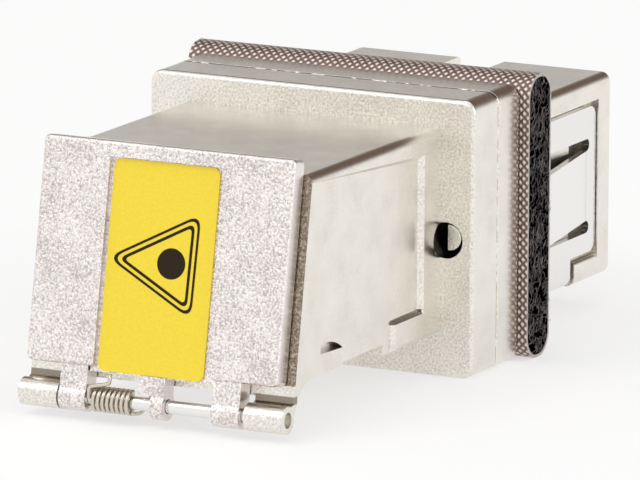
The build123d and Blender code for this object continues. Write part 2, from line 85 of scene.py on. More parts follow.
# Lengths are in millimetres from here on, unless a comment says metres. The housings' front rim, which gets
# painted shade for the gap behind the door, lies less than RIM_DEPTH behind the hinge axis, measured square
# to the door, and more than RIM_RISE above it.
RIM_DEPTH = 0.50
RIM_RISE = 1.35

# Painted shade on the castings, in the lug roots, the panel's lower ledge and the pin holes: two corners of a
# box, how soft its edge is, and its tone against the rim.
LUG_ROOT_SHADE = ((4.5, -17.3, -4.52), (6.6, -16.5, -4.22), 0.04, 1.1)
PANEL_LEDGE_SHADE = ((6.2, -7.12, -2.88), (6.45, -4.2, -2.69), 0.02, 0.6)
PIN_HOLE_SHADE = ((5.8, -2.34, -0.72), (7.6, 1.6, 0.93), 0.04, 0.3)
# Two corners, softness and tone as above for the dark parting line of the flange, which a noise of this scale
# breaks into dashes.
SEAM_TOP = ((0.0, -0.09, 5.9), (9.0, 0.085, 7.0), 0.01, 0.2)
SEAM_SIDE = ((7.5, -0.05, -7.0), (9.0, 0.05, 5.9), 0.01, 1.7)
DASH_SCALE = 1700.0

# Gaps at the roots of the latches and the hooks, and the webs that bridge them: how far a web reaches past
# the gap, how much lower it is than its body at top and bottom, and each root's place and half thickness.
ROOT_GAP = 0.05
WEB_OVERLAP = 0.03
WEB_SKIN = 0.01
LATCH_X, LATCH_ROOT_Y, LATCH_HALF = 6.20, 12.75, 0.146
HOOK_X, HOOK_ROOT_Y, HOOK_HALF = 4.40, 1.65, 0.345

# The sticker's print: its levels out from the hinge axis, and a triangle's corners across and up from it.
# Each ring starts so far inside the triangle, or outside where that is less than zero, and has its own width.
PRINT_LOW, PRINT_HIGH = 0.472, 0.480
TRIANGLE = ((-2.22, 6.21), (1.45, 8.14), (1.38, 4.26))
TRIANGLE_RINGS = ((-0.22, 0.11), (0.03, 0.13))
CORNER_RADIUS, CORNER_SHRINK = 0.46, 1.2
CORNER_STEPS = 8
DOT_X, DOT_UP, DOT_RADIUS = 0.42, 6.21, 0.68
DOT_SIDES = 48

# The hinge spring: where its coil starts, its turns and their pitch, and where its legs end.
COIL_START_X, COIL_TURNS, COIL_PITCH = -3.04, 8.25, 0.232
DOOR_LEG_X, DOOR_LEG_BEND, DOOR_LEG_END = -2.07, 0.14, 1.16
SILL_LEG_BEND, SILL_LEG_END = 0.3, -2.8
LEG_SHARE = 0.97  # of the wire's radius, so a leg's start hides inside the coil

# The foam's cut ends: rows and columns of the torn cap, how much of the room outside the foam its tears and
# its dome take up, and the loose fibres. The area is about that of one cut end, in square metres.
CAP_ROWS, CAP_COLUMNS = 150, 24
TEAR_SHARE, DOME_SHARE = 0.45, 0.5
CUT_END_AREA = 0.002 * 0.0125
CAP_SEED, FIBRE_SEED = 11, 3
FIBRE_LENGTH, FIBRE_RADIUS = 0.6, 0.0085
FIBRE_TILT = 0.1  # in radians
FIBRE_SHORTEST = 0.35  # of the full length

# The studio: the floor's gap and half width, and each light's name, place, size and power, all in metres
# and watts.
FLOOR_GAP, FLOOR_HALF = 0.00002, 2.0
LIGHTS = (
    ("key", (-0.10, -0.16, 0.22), 0.12, 0.12),
    ("side", (0.26, -0.02, 0.10), 0.12, 0.12),
    ("top", (0.0, 0.05, 0.30), 0.2, 0.1),
)
# The dark wall fades in with the direction's Y and Z parts, and the ceiling's grey with Z alone.
WALL_FADE = (("Y", 0.15, 0.75), ("Z", 0.04, 0.40))
CEILING_FADE = (0.80, 0.99)
CEILING_GREY = (0.55, 0.55, 0.55)
# The camera: direction and roll in degrees, the point it looks at, its distance in metres and its lens.
AZIMUTH, ELEVATION, ROLL = 26.43, 11.89, 0.388
LOOK_AT = Vector((0.474, -2.42, -0.50)) * MM
DISTANCE = 0.5327
LENS, SENSOR = 675, 36


def on_door(x, up, out):
    """Point by the closed door: millimetres across, up and out of its face, from the hinge axis."""
    return HINGE + Vector((x * MM, 0, 0)) + DOOR_UP * (up * MM) + DOOR_OUT * (out * MM)


# ------------------------------------------------------------------ settings
class AdapterMetalSettings(bpy.types.PropertyGroup):
    body_color: FloatVectorProperty(
        name="Housing Colour", description="Colour of the nickel plating on the housings",
        subtype="COLOR", size=3, min=0, max=1, default=(0.82, 0.785, 0.72))
    door_color: FloatVectorProperty(
        name="Door Colour", description="Colour of the plating on the shutter door",
        subtype="COLOR", size=3, min=0, max=1, default=(0.80, 0.735, 0.71))
    # Painted shade on the rim behind the door, the lug roots, the panel ledge and the pin holes; also the
    # dark dashes of the parting line.
    rim_color: FloatVectorProperty(
        name="Shade and Seam Colour", description="Painted shade on the rim behind the door and in the castings' hollows, and the parting line's colour",
        subtype="COLOR", size=3, min=0, max=1, default=(0.27, 0.235, 0.19))
    clip_color: FloatVectorProperty(
        name="Clip Colour", description="Colour of the bright spring sheet",
        subtype="COLOR", size=3, min=0, max=1, default=(0.84, 0.83, 0.81))
    grain_size: FloatProperty(
        name="Grain Size", description="Size of the casting's grain on the door",
        subtype="DISTANCE", unit="LENGTH", min=0.00005, max=0.001, default=0.00011)


class AdapterGasketSettings(bpy.types.PropertyGroup):
    thread_pitch: FloatProperty(
        name="Thread Pitch", description="Distance between neighbouring threads of the cloth",
        subtype="DISTANCE", unit="LENGTH", min=0.0001, max=0.001, default=0.00026)
    cloth_color: FloatVectorProperty(
        name="Cloth Colour", description="Colour of the metallised threads",
        subtype="COLOR", size=3, min=0, max=1, default=(0.62, 0.57, 0.53))
    foam_color: FloatVectorProperty(
        name="Foam Colour", description="Colour of the foam at the gasket's cut ends",
        subtype="COLOR", size=3, min=0, max=1, default=(0.105, 0.088, 0.085))
    fibre_count: IntProperty(
        name="Fibres", description="Loose fibres on each cut end of the foam",
        min=1, max=2000, default=700)


class AdapterShutterSettings(bpy.types.PropertyGroup):
    wire_color: FloatVectorProperty(
        name="Wire Colour", description="Colour of the hinge spring's wire",
        subtype="COLOR", size=3, min=0, max=1, default=(0.66, 0.60, 0.52))
    wire_radius: FloatProperty(
        name="Wire Radius", description="Radius of the hinge spring's wire",
        subtype="DISTANCE", unit="LENGTH", min=0.00005, max=0.0002, default=0.00009)
    coil_radius: FloatProperty(
        name="Coil Radius", description="Radius of the spring's coil, to the middle of the wire",
        subtype="DISTANCE", unit="LENGTH", min=0.0004, max=0.0006, default=0.00049)
    label_color: FloatVectorProperty(
        name="Label Colour", description="Colour of the sticker on the door",
        subtype="COLOR", size=3, min=0, max=1, default=(0.86, 0.655, 0.03))
    print_color: FloatVectorProperty(
        name="Print Colour", description="Colour of the print on the sticker",
        subtype="COLOR", size=3, min=0, max=1, default=(0.030, 0.020, 0.012))


class AdapterStageSettings(bpy.types.PropertyGroup):
    floor_color: FloatVectorProperty(
        name="Floor Colour", description="Colour of the plain floor",
        subtype="COLOR", size=3, min=0, max=1, default=(0.42, 0.42, 0.42))
    floor_glow: FloatProperty(
        name="Floor Glow", description="Light given off by the floor panel",
        min=0, max=1, default=0.565)
    sky_strength: FloatProperty(
        name="Sky Strength", description="Strength of the even light all round",
        min=0, max=5, default=1.0)
    wall_color: FloatVectorProperty(
        name="Wall Colour", description="Colour of the studio's dark wall high up behind the adapter",
        subtype="COLOR", size=3, min=0, max=1, default=(0.13, 0.085, 0.06))


# ------------------------------------------------------------------ materials
class Shader:
    """A new material and short ways to add and link its nodes."""

    def __init__(self, name):
        self.material = bpy.data.materials.new(name)
        self.material.use_nodes = True
        self.tree = self.material.node_tree
        self.surface = self.tree.nodes["Principled BSDF"]

    def node(self, kind, **values):
        """Add a node. A value names one of its properties or, with underscores for spaces, a socket."""
        made = self.tree.nodes.new(kind)
        for key, value in values.items():
            if hasattr(made, key):
                setattr(made, key, value)
            else:
                made.inputs[key.replace("_", " ")].default_value = value
        return made

    def link(self, source, target):
        self.tree.links.new(source, target)

    def math(self, operation, first, second=None):
        """Math node on sockets or numbers."""
        made = self.tree.nodes.new("ShaderNodeMath")
        made.operation = operation
        for socket, value in zip(made.inputs, (first, second)):
            if isinstance(value, bpy.types.NodeSocket):
                self.link(value, socket)
            elif value is not None:
                socket.default_value = value
        return made.outputs[0]

    def ramp(self, factor, *stops):
        """Colour ramp over (position, colour) stops."""
        made = self.tree.nodes.new("ShaderNodeValToRGB")
        elements = made.color_ramp.elements
        while len(elements) < len(stops):
            elements.new(0.5)
        for element, (position, color) in zip(elements, stops):
            element.position = position
            element.color = (*color, 1)
        self.link(factor, made.inputs["Fac"])
        return made.outputs["Color"]

    def inside(self, place, low, high, soft):
        """One inside a box between two corners, and zero outside. The box is mirrored to the left side."""
        centre = [(a + b) / 2 * MM for a, b in zip(low, high)]
        half = [(b - a) / 2 * MM for a, b in zip(low, high)]
        split = self.node("ShaderNodeSeparateXYZ")
        self.link(place, split.inputs[0])
        across = self.math("ABSOLUTE", split.outputs["X"])
        past = None
        for value, middle, reach in zip((across, split.outputs["Y"], split.outputs["Z"]), centre, half):
            away = self.math("ABSOLUTE", self.math("SUBTRACT", value, middle))
            over = self.math("SUBTRACT", away, reach)
            past = over if past is None else self.math("MAXIMUM", past, over)
        edge = self.node("ShaderNodeMapRange", From_Min=0.0, From_Max=soft * MM, To_Min=1.0, To_Max=0.0)
        self.link(past, edge.inputs["Value"])
        return edge.outputs["Result"]

    def blend(self, factor, first, second):
        """Mix of two colours, each a socket or a plain colour."""
        made = self.node("ShaderNodeMix", data_type="RGBA")
        self.link(factor, made.inputs["Factor"])
        for socket, value in zip((made.inputs[6], made.inputs[7]), (first, second)):
            if isinstance(value, bpy.types.NodeSocket):
                self.link(value, socket)
            else:
                socket.default_value = (*value, 1)
        return made.outputs[2]

    def base(self, **values):
        """Set plain values on the surface's own sockets."""
        for key, value in values.items():
            self.surface.inputs[key.replace("_", " ")].default_value = value

    def bump(self, height, distance, strength=1.0):
        """Bump node feeding the surface, its distance in metres."""
        made = self.node("ShaderNodeBump", Strength=strength, Distance=distance)
        self.link(height, made.inputs["Height"])
        self.link(made.outputs["Normal"], self.surface.inputs["Normal"])


def scaled(color, factor):
    """Colour made lighter or darker."""
    return tuple(min(1.0, channel * factor) for channel in color)


def cast_nickel(name, color, grain, depth, roughness, contrast, smooth, rim=None):
    """Plated casting. Faces turned to the plug side carry the full grain, the others the share in smooth.

    Grain and depth are in metres. A rim colour paints shade on the casting's front rim, lug roots, panel
    ledge and pin holes, and colours its parting line's dark dashes."""
    s = Shader(name)
    s.base(Metallic=1.0, Roughness=roughness)
    coordinates = s.node("ShaderNodeTexCoord")
    place = coordinates.outputs["Object"]
    facing = s.node("ShaderNodeSeparateXYZ")
    s.link(coordinates.outputs["Normal"], facing.inputs[0])
    front = s.node("ShaderNodeMapRange", From_Min=0.3, From_Max=0.9, To_Min=smooth, To_Max=1.0)
    s.link(s.math("MULTIPLY", facing.outputs["Y"], -1.0), front.inputs["Value"])
    fine = s.node("ShaderNodeTexNoise", Scale=1 / grain, Detail=2.0, Roughness=0.65)
    s.link(place, fine.inputs["Vector"])
    broad = s.node("ShaderNodeTexNoise", Scale=0.07 / grain, Detail=3.0, Roughness=0.5)
    s.link(place, broad.inputs["Vector"])
    offset = s.math("SUBTRACT", fine.outputs["Fac"], 0.5)
    grainy = s.math("MULTIPLY", offset, front.outputs["Result"])
    mottle = s.math("MULTIPLY", s.math("SUBTRACT", broad.outputs["Fac"], 0.5), 0.25)
    tone = s.math("ADD", s.math("ADD", grainy, mottle), 0.5)
    dark, light = scaled(color, 1 - contrast), scaled(color, 1 + contrast * 0.7)
    shade = s.ramp(tone, (0.34, dark), (0.5, color), (0.66, light))
    # Painted shade on the rim and in the hollows, and the dark parting line.
    if rim is not None:
        shade = painted_shade_and_seam(s, place, shade, fine.outputs["Fac"], rim)
    s.link(shade, s.surface.inputs["Base Color"])
    s.bump(grainy, distance=depth)
    return s.material


def painted_shade_and_seam(s, place, shade, noise, rim):
    """Painted shade on the housings' rim beside the door, the pin holes, the lug roots and the panel's lower
    ledge, and the parting line's dark dashes.
    """
    spot = s.node("ShaderNodeSeparateXYZ")
    s.link(place, spot.inputs[0])
    # Painted shade on the rim beside the door, speckled by the grain noise.
    out_y = s.math("MULTIPLY", s.math("SUBTRACT", spot.outputs["Y"], HINGE.y), DOOR_OUT.y)
    out_z = s.math("MULTIPLY", s.math("SUBTRACT", spot.outputs["Z"], HINGE.z), DOOR_OUT.z)
    beyond = s.math("GREATER_THAN", s.math("ADD", out_y, out_z), -RIM_DEPTH * MM)
    above = s.math("GREATER_THAN", spot.outputs["Z"], HINGE.z + RIM_RISE * MM)
    speck = s.ramp(noise, (0.42, scaled(rim, 0.85)), (0.66, scaled(rim, 2.2)))
    shade = s.blend(s.math("MULTIPLY", beyond, above), shade, speck)
    # Painted shade in the lug roots, the panel's lower ledge and the pin holes.
    for low, high, soft, tone in (LUG_ROOT_SHADE, PANEL_LEDGE_SHADE, PIN_HOLE_SHADE):
        shade = s.blend(s.inside(place, low, high, soft), shade, scaled(rim, tone))
    dashes = s.node("ShaderNodeTexNoise", Scale=DASH_SCALE, Detail=1.0)
    s.link(place, dashes.inputs["Vector"])
    dash = s.node("ShaderNodeMapRange", From_Min=0.44, From_Max=0.50)
    s.link(dashes.outputs["Fac"], dash.inputs["Value"])
    for low, high, soft, tone in (SEAM_TOP, SEAM_SIDE):
        seam = s.math("MULTIPLY", s.inside(place, low, high, soft), dash.outputs["Result"])
        shade = s.blend(seam, shade, scaled(rim, tone))
    return shade


def bright_steel(name, color, roughness):
    """Polished spring sheet or wire with faint drawing marks."""
    s = Shader(name)
    s.base(Base_Color=(*color, 1), Metallic=1.0, Roughness=roughness)
    place = s.node("ShaderNodeTexCoord").outputs["Object"]
    marks = s.node("ShaderNodeTexNoise", Scale=900.0, Detail=2.0)
    s.link(place, marks.inputs["Vector"])
    s.bump(marks.outputs["Fac"], distance=0.000006, strength=0.4)
    return s.material


def plain(name, color, roughness, **values):
    """One even finish."""
    s = Shader(name)
    s.base(Base_Color=(*color, 1), Roughness=roughness, **values)
    return s.material


def label_film(name, color):
    """Printed film with a faint speckle."""
    s = Shader(name)
    s.base(Roughness=0.42)
    place = s.node("ShaderNodeTexCoord").outputs["Object"]
    speck = s.node("ShaderNodeTexNoise", Scale=9000.0, Detail=1.0)
    s.link(place, speck.inputs["Vector"])
    s.link(s.ramp(speck.outputs["Fac"], (0.3, scaled(color, 0.96)), (0.7, scaled(color, 1.03))),
           s.surface.inputs["Base Color"])
    return s.material


def woven_cloth(name, color, pitch):
    """Metallised plain weave. UV is in metres along the two sets of threads."""
    s = Shader(name)
    s.base(Metallic=0.85, Roughness=0.36)
    split = s.node("ShaderNodeSeparateXYZ")
    s.link(s.node("ShaderNodeTexCoord").outputs["UV"], split.inputs[0])
    turn = math.pi / pitch
    across = s.math("ABSOLUTE", s.math("SINE", s.math("MULTIPLY", split.outputs["X"], turn)))
    along = s.math("ABSOLUTE", s.math("SINE", s.math("MULTIPLY", split.outputs["Y"], turn)))
    height = s.math("MULTIPLY", across, along)
    speck = s.node("ShaderNodeTexNoise", Scale=0.3 / pitch, Detail=2.0)
    s.link(s.node("ShaderNodeTexCoord").outputs["Object"], speck.inputs["Vector"])
    flecks = s.math("MULTIPLY", speck.outputs["Fac"], 0.25)
    shade = s.math("ADD", s.math("MULTIPLY", height, 0.85), flecks)
    dark = (color[0] * 0.30, color[1] * 0.215, color[2] * 0.20)
    middle = (color[0] * 0.66, color[1] * 0.56, color[2] * 0.53)
    woven = s.ramp(shade, (0.22, dark), (0.55, middle), (0.88, scaled(color, 1.3)))
    facing = s.node("ShaderNodeSeparateXYZ")
    s.link(s.node("ShaderNodeTexCoord").outputs["Normal"], facing.inputs[0])
    cut = s.math("GREATER_THAN", s.math("ABSOLUTE", facing.outputs["X"]), 0.8)
    s.link(s.blend(cut, woven, scaled(color, 0.8)), s.surface.inputs["Base Color"])
    s.bump(s.math("MULTIPLY", height, s.math("SUBTRACT", 1.0, cut)), distance=pitch * 0.22)
    return s.material


def foam_surface(name, color):
    """Dark open-cell foam with a few reddish patches."""
    s = Shader(name)
    s.base(Roughness=0.95)
    place = s.node("ShaderNodeTexCoord").outputs["Object"]
    cells = s.node("ShaderNodeTexVoronoi", Scale=3600.0)
    s.link(place, cells.inputs["Vector"])
    warm = s.node("ShaderNodeTexNoise", Scale=700.0, Detail=2.0)
    s.link(place, warm.inputs["Vector"])
    dark, light = scaled(color, 0.4), scaled(color, 3.0)
    cell = s.ramp(cells.outputs["Distance"], (0.1, dark), (0.5, color), (0.9, light))
    patch = s.node("ShaderNodeMapRange", From_Min=0.52, From_Max=0.68, To_Max=0.45)
    s.link(warm.outputs["Fac"], patch.inputs["Value"])
    s.link(s.blend(patch.outputs["Result"], cell, (0.13, 0.055, 0.05)), s.surface.inputs["Base Color"])
    s.bump(cells.outputs["Distance"], distance=0.00012)
    return s.material


def use(material, *objects):
    """Give objects this one material."""
    for obj in objects:
        obj.data.materials.clear()
        obj.data.materials.append(material)


# ------------------------------------------------------------------ mesh helpers
def add_object(name, mesh, material):
    """New object at the origin with one material."""
    obj = bpy.data.objects.new(name, mesh)
    bpy.context.scene.collection.objects.link(obj)
    use(material, obj)
    return obj


def from_points(name, points, faces, material, smooth=True):
    """Mesh object from points and faces, outward faces made sure of."""
    mesh = bpy.data.meshes.new(name)
    mesh.from_pydata([tuple(p) for p in points], [], faces)
    work = bmesh.new()
    work.from_mesh(mesh)
    bmesh.ops.recalc_face_normals(work, faces=work.faces)
    work.to_mesh(mesh)
    work.free()
    for face in mesh.polygons:
        face.use_smooth = smooth
    return add_object(name, mesh, material)


def bend(start, corner, end, steps):
    """Points of a smooth turn from start to end, pulled towards a corner."""
    shares = [step / steps for step in range(steps + 1)]
    return [start * (1 - t) ** 2 + corner * 2 * t * (1 - t) + end * t * t for t in shares]


def rounded_path(corners, radius, steps=6):
    """Points along a 3-D path with each inner corner rounded."""
    points = [corners[0]]
    for before, corner, after in zip(corners, corners[1:], corners[2:]):
        into, out = before - corner, after - corner
        reach = min(radius, into.length / 2.2, out.length / 2.2)
        points += bend(corner + into.normalized() * reach, corner, corner + out.normalized() * reach, steps)
    points.append(corners[-1])
    return points


def wire_tube(name, path, radius, material, sides=12):
    """Closed tube of the given radius along a path, with flat ends."""
    rings, normal = [], None
    for i, point in enumerate(path):
        ahead = path[min(i + 1, len(path) - 1)] - path[max(i - 1, 0)]
        direction = ahead.normalized()
        if normal is None:
            normal = direction.orthogonal().normalized()
        normal = (normal - direction * normal.dot(direction)).normalized()
        rings.append((point, direction, normal))
    points, faces = [], []
    for point, direction, normal in rings:
        side = direction.cross(normal)
        for k in range(sides):
            angle = 2 * math.pi * k / sides
            points.append(point + (normal * math.cos(angle) + side * math.sin(angle)) * radius)
    for i in range(len(rings) - 1):
        for k in range(sides):
            a, b = i * sides + k, i * sides + (k + 1) % sides
            faces.append((a, b, b + sides, a + sides))
    faces.append(tuple(range(sides))[::-1])
    faces.append(tuple(range((len(rings) - 1) * sides, len(rings) * sides)))
    return from_points(name, points, faces, material)


class Steps:
    """A new geometry tree with named number inputs, and short ways to add and join its nodes."""

    def __init__(self, name, **inputs):
        self.tree = bpy.data.node_groups.new(name, "GeometryNodeTree")
        self.tree.is_modifier = True
        face = self.tree.interface
        face.new_socket("Geometry", in_out="INPUT", socket_type="NodeSocketGeometry")
        for key, kind in inputs.items():
            face.new_socket(key.replace("_", " "), in_out="INPUT", socket_type="NodeSocket" + kind)
        face.new_socket("Geometry", in_out="OUTPUT", socket_type="NodeSocketGeometry")
        self.source, self.target = self.add("NodeGroupInput"), self.add("NodeGroupOutput")

    def add(self, kind, **values):
        made = self.tree.nodes.new(kind)
        for key, value in values.items():
            setattr(made, key, value)
        return made

    def join(self, source, target):
        self.tree.links.new(source, target)

    def wire(self, curve, radius, sides, caps):
        """Tube along a curve, with the named input as its radius."""
        ring = self.add("GeometryNodeCurvePrimitiveCircle")
        ring.inputs["Resolution"].default_value = sides
        self.join(self.source.outputs[radius], ring.inputs["Radius"])
        tube = self.add("GeometryNodeCurveToMesh")
        tube.inputs["Fill Caps"].default_value = caps
        self.join(curve, tube.inputs["Curve"])
        self.join(ring.outputs["Curve"], tube.inputs["Profile Curve"])
        return tube.outputs["Mesh"]

    def finish(self, geometry, material):
        """Make copies real, paint them and hand them out."""
        real = self.add("GeometryNodeRealizeInstances")
        self.join(geometry, real.inputs["Geometry"])
        paint = self.add("GeometryNodeSetMaterial")
        paint.inputs["Material"].default_value = material
        self.join(real.outputs["Geometry"], paint.inputs["Geometry"])
        self.join(paint.outputs["Geometry"], self.target.inputs["Geometry"])
        return self.tree


def bake_tree(name, mesh, tree, values, material, place=None):
    """Plain mesh object of a geometry tree run on a mesh, with its inputs set by name, then placed."""
    carrier = bpy.data.objects.new(name + "_source", mesh)
    bpy.context.scene.collection.objects.link(carrier)
    modifier = carrier.modifiers.new(name, "NODES")
    modifier.node_group = tree
    for item in tree.interface.items_tree:
        if item.in_out == "INPUT" and item.name in values:
            modifier[item.identifier] = values[item.name]
    bpy.context.view_layer.update()
    graph = bpy.context.evaluated_depsgraph_get()
    result = bpy.data.meshes.new_from_object(carrier.evaluated_get(graph))
    result.name = name
    bpy.data.objects.remove(carrier)
    if not result.polygons:
        raise RuntimeError(name + " came out empty")
    if place is not None:
        result.transform(place)
    for face in result.polygons:
        face.use_smooth = True
    return add_object(name, result, material)


def block(name, low, high, material, cuts=4):
    """Box between two corners, cut into slices along Y."""
    points, faces = [], []
    for i in range(cuts + 1):
        y = low[1] + (high[1] - low[1]) * i / cuts
        points += [(low[0], y, low[2]), (high[0], y, low[2])]
        points += [(high[0], y, high[2]), (low[0], y, high[2])]
    for i in range(cuts):
        for k in range(4):
            a, b = i * 4 + k, i * 4 + (k + 1) % 4
            faces.append((a, b, b + 4, a + 4))
    faces += [(3, 2, 1, 0), tuple(range(4 * cuts, 4 * cuts + 4))]
    return from_points(name, points, faces, material, smooth=False)


# ------------------------------------------------------------------ operators
class ADAPTER_OT_metal(bpy.types.Operator):
    """Plate the housings, the door, the pins and the clip"""
    bl_idname = "adapter.metal"
    bl_label = "Finish Metal Pieces"

    def execute(self, context):
        cfg = context.scene.adapter_metal
        grain = cfg.grain_size
        body = tuple(cfg.body_color)
        # The housings take painted shade on their rim and in their hollows from the shade colour.
        housing = cast_nickel("cast_nickel", body, grain, depth=grain * 0.24, roughness=0.24,
                              contrast=0.20, smooth=0.20, rim=tuple(cfg.rim_color))
        door = cast_nickel("cast_nickel_door", tuple(cfg.door_color), grain, depth=grain * 0.46,
                           roughness=0.27, contrast=0.37, smooth=0.08)
        pins = cast_nickel("pin_steel", scaled(body, 0.9), grain, depth=grain * 0.2, roughness=0.2,
                           contrast=0.2, smooth=0.15)
        steel = bright_steel("spring_steel", tuple(cfg.clip_color), roughness=0.16)
        use(housing, NODES["front_housing"], NODES["rear_housing"])
        use(door, NODES["shutter_door"])
        use(pins, NODES["assembly_pins"])
        for name in ("hinge_pin", "panel_clip", "clip_latch_left", "clip_latch_right"):
            use(steel, NODES[name])
        return {"FINISHED"}


class ADAPTER_OT_port_parts(bpy.types.Operator):
    """Finish the inserts, the plug hooks and the alignment sleeve"""
    bl_idname = "adapter.port_parts"
    bl_label = "Finish Port Parts"

    def execute(self, context):
        plastic = plain("hook_plastic", (0.72, 0.72, 0.70), roughness=0.45)
        ceramic = plain("zirconia", (0.86, 0.86, 0.84), roughness=0.12)
        glue = plain("clear_adhesive", (0.6, 0.58, 0.54), roughness=0.5)
        for name in ("front_insert", "rear_insert", "front_hook_left", "front_hook_right",
                     "rear_hook_left", "rear_hook_right"):
            use(plastic, NODES[name])
        use(ceramic, NODES["alignment_sleeve"])
        use(glue, NODES["gasket_adhesive"])
        return {"FINISHED"}


class ADAPTER_OT_flexures(bpy.types.Operator):
    """Join each latch and hook to its root with a short bending web"""
    bl_idname = "adapter.flexures"
    bl_label = "Add Bending Roots"

    def execute(self, context):
        sides = (("left", -1), ("right", 1))
        for side, sign in sides:
            self.web("clip_latch_" + side, sign * LATCH_X, LATCH_ROOT_Y, 1, LATCH_HALF, "spring_steel")
        for end, way in (("front", -1), ("rear", 1)):
            for side, sign in sides:
                self.web(f"{end}_hook_{side}", sign * HOOK_X, way * HOOK_ROOT_Y, -way, HOOK_HALF,
                         "hook_plastic")
        return {"FINISHED"}

    def web(self, body, x, root, way, half, finish):
        """Web as high as its body, across the gap that starts at root and runs along Y in the given way."""
        low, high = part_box(body)
        ends = sorted((root - way * WEB_OVERLAP, root + way * (ROOT_GAP + WEB_OVERLAP)))
        skin = WEB_SKIN * MM
        piece = block(body + "_root", ((x - half) * MM, ends[0] * MM, low[2] + skin),
                      ((x + half) * MM, ends[1] * MM, high[2] - skin), bpy.data.materials[finish])
        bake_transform(piece)


class ADAPTER_OT_label(bpy.types.Operator):
    """Colour the sticker and add its generic print"""
    bl_idname = "adapter.label"
    bl_label = "Add Label and Print"

    def execute(self, context):
        cfg = context.scene.adapter_shutter
        use(label_film("label_film", tuple(cfg.label_color)), NODES["shutter_sticker"])
        ink = plain("label_ink", tuple(cfg.print_color), roughness=0.85, Specular_IOR_Level=0.08)
        for number, (inset, width) in enumerate(TRIANGLE_RINGS, 1):
            outer, inner = self.triangle(inset), self.triangle(inset + width)
            self.ring(f"print_triangle_{number}", outer, inner, ink)
        turns = [2 * math.pi * k / DOT_SIDES for k in range(DOT_SIDES)]
        dot = [Vector((DOT_X + DOT_RADIUS * math.cos(a), DOT_UP + DOT_RADIUS * math.sin(a))) for a in turns]
        self.ring("print_dot", dot, None, ink)
        return {"FINISHED"}

    def triangle(self, inset):
        """Outline of the triangle moved in by inset, with rounder corners the further out it is."""
        corners = [Vector(corner) for corner in TRIANGLE]
        radius = CORNER_RADIUS - inset * CORNER_SHRINK
        lines = []
        centre = sum(corners, Vector((0, 0))) / len(corners)
        for a, b in zip(corners, corners[1:] + corners[:1]):
            normal = Vector((a.y - b.y, b.x - a.x)).normalized()
            if normal.dot(centre - a) < 0:
                normal = -normal
            lines.append((a + normal * inset, (b - a).normalized()))
        points = []
        for (p, d), (q, e) in zip(lines[-1:] + lines[:-1], lines):
            t = ((q.x - p.x) * e.y - (q.y - p.y) * e.x) / (d.x * e.y - d.y * e.x)
            corner = p + d * t
            points += bend(corner - d * radius, corner, corner + e * radius, CORNER_STEPS)
        return points

    def ring(self, name, outer, inner, material):
        """Thin raised print between two outlines, or inside one."""
        count = len(outer)
        loops, spans = [(outer, PRINT_LOW), (outer, PRINT_HIGH)], [(0, 1)]
        if inner:
            loops += [(inner, PRINT_HIGH), (inner, PRINT_LOW)]
            spans += [(1, 2), (2, 3), (3, 0)]
        points = [on_door(p.x, p.y, level) for loop, level in loops for p in loop]
        faces = []
        for a, b in spans:
            for k in range(count):
                n = (k + 1) % count
                faces.append((a * count + k, a * count + n, b * count + n, b * count + k))
        if not inner:
            faces += [tuple(range(count)), tuple(range(count, 2 * count))]
        obj = from_points(name, points, faces, material, smooth=False)
        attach(obj, "shutter")


class ADAPTER_OT_spring(bpy.types.Operator):
    """Wind the hinge spring, with one leg riding on the door and one on the housing"""
    bl_idname = "adapter.spring"
    bl_label = "Add Hinge Spring"

    def execute(self, context):
        cfg = context.scene.adapter_shutter
        wire = bright_steel("spring_wire", tuple(cfg.wire_color), roughness=0.26)
        radius, coil = cfg.wire_radius, cfg.coil_radius / MM
        length = COIL_TURNS * COIL_PITCH
        start, end_x = on_door(COIL_START_X, 0, 0), COIL_START_X + length
        place = Matrix((DOOR_OUT, -DOOR_UP, (1, 0, 0))).transposed().to_4x4()
        place.translation = start
        sizes = {"Turns": COIL_TURNS, "Coil Radius": cfg.coil_radius, "Length": length * MM,
                 "Wire Radius": radius}
        body = bake_tree("spring_coil", bpy.data.meshes.new("spring_source"), self.coil_tree(wire), sizes,
                         wire, place)
        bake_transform(body)
        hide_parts("shutter_spring")
        door_leg = rounded_path([
            on_door(COIL_START_X, 0.0, coil), on_door(COIL_START_X, 0.52, coil),
            on_door(DOOR_LEG_X, 0.72, coil), on_door(DOOR_LEG_X, DOOR_LEG_END, coil)], DOOR_LEG_BEND * MM)
        sill_leg = rounded_path([
            on_door(end_x, -coil, 0.0), on_door(end_x, -coil, -1.0),
            on_door(end_x, 0.46, -2.0), on_door(end_x, 0.60, SILL_LEG_END)], SILL_LEG_BEND * MM)
        for name, path, rides in (("spring_door_leg", door_leg, "shutter"),
                                  ("spring_sill_leg", sill_leg, "adapter")):
            leg = wire_tube(name, path, radius * LEG_SHARE, wire)
            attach(leg, rides)
        return {"FINISHED"}

    def coil_tree(self, material):
        """Geometry nodes for a wire wound along Z."""
        made = Steps("spring_coil", Turns="Float", Coil_Radius="Float", Length="Float", Wire_Radius="Float")
        spiral = made.add("GeometryNodeCurveSpiral")
        spiral.inputs["Resolution"].default_value = 32
        for size, socket in (("Turns", "Rotations"), ("Coil Radius", "Start Radius"),
                             ("Coil Radius", "End Radius"), ("Length", "Height")):
            made.join(made.source.outputs[size], spiral.inputs[socket])
        tube = made.wire(spiral.outputs["Curve"], "Wire Radius", sides=12, caps=True)
        return made.finish(tube, material)


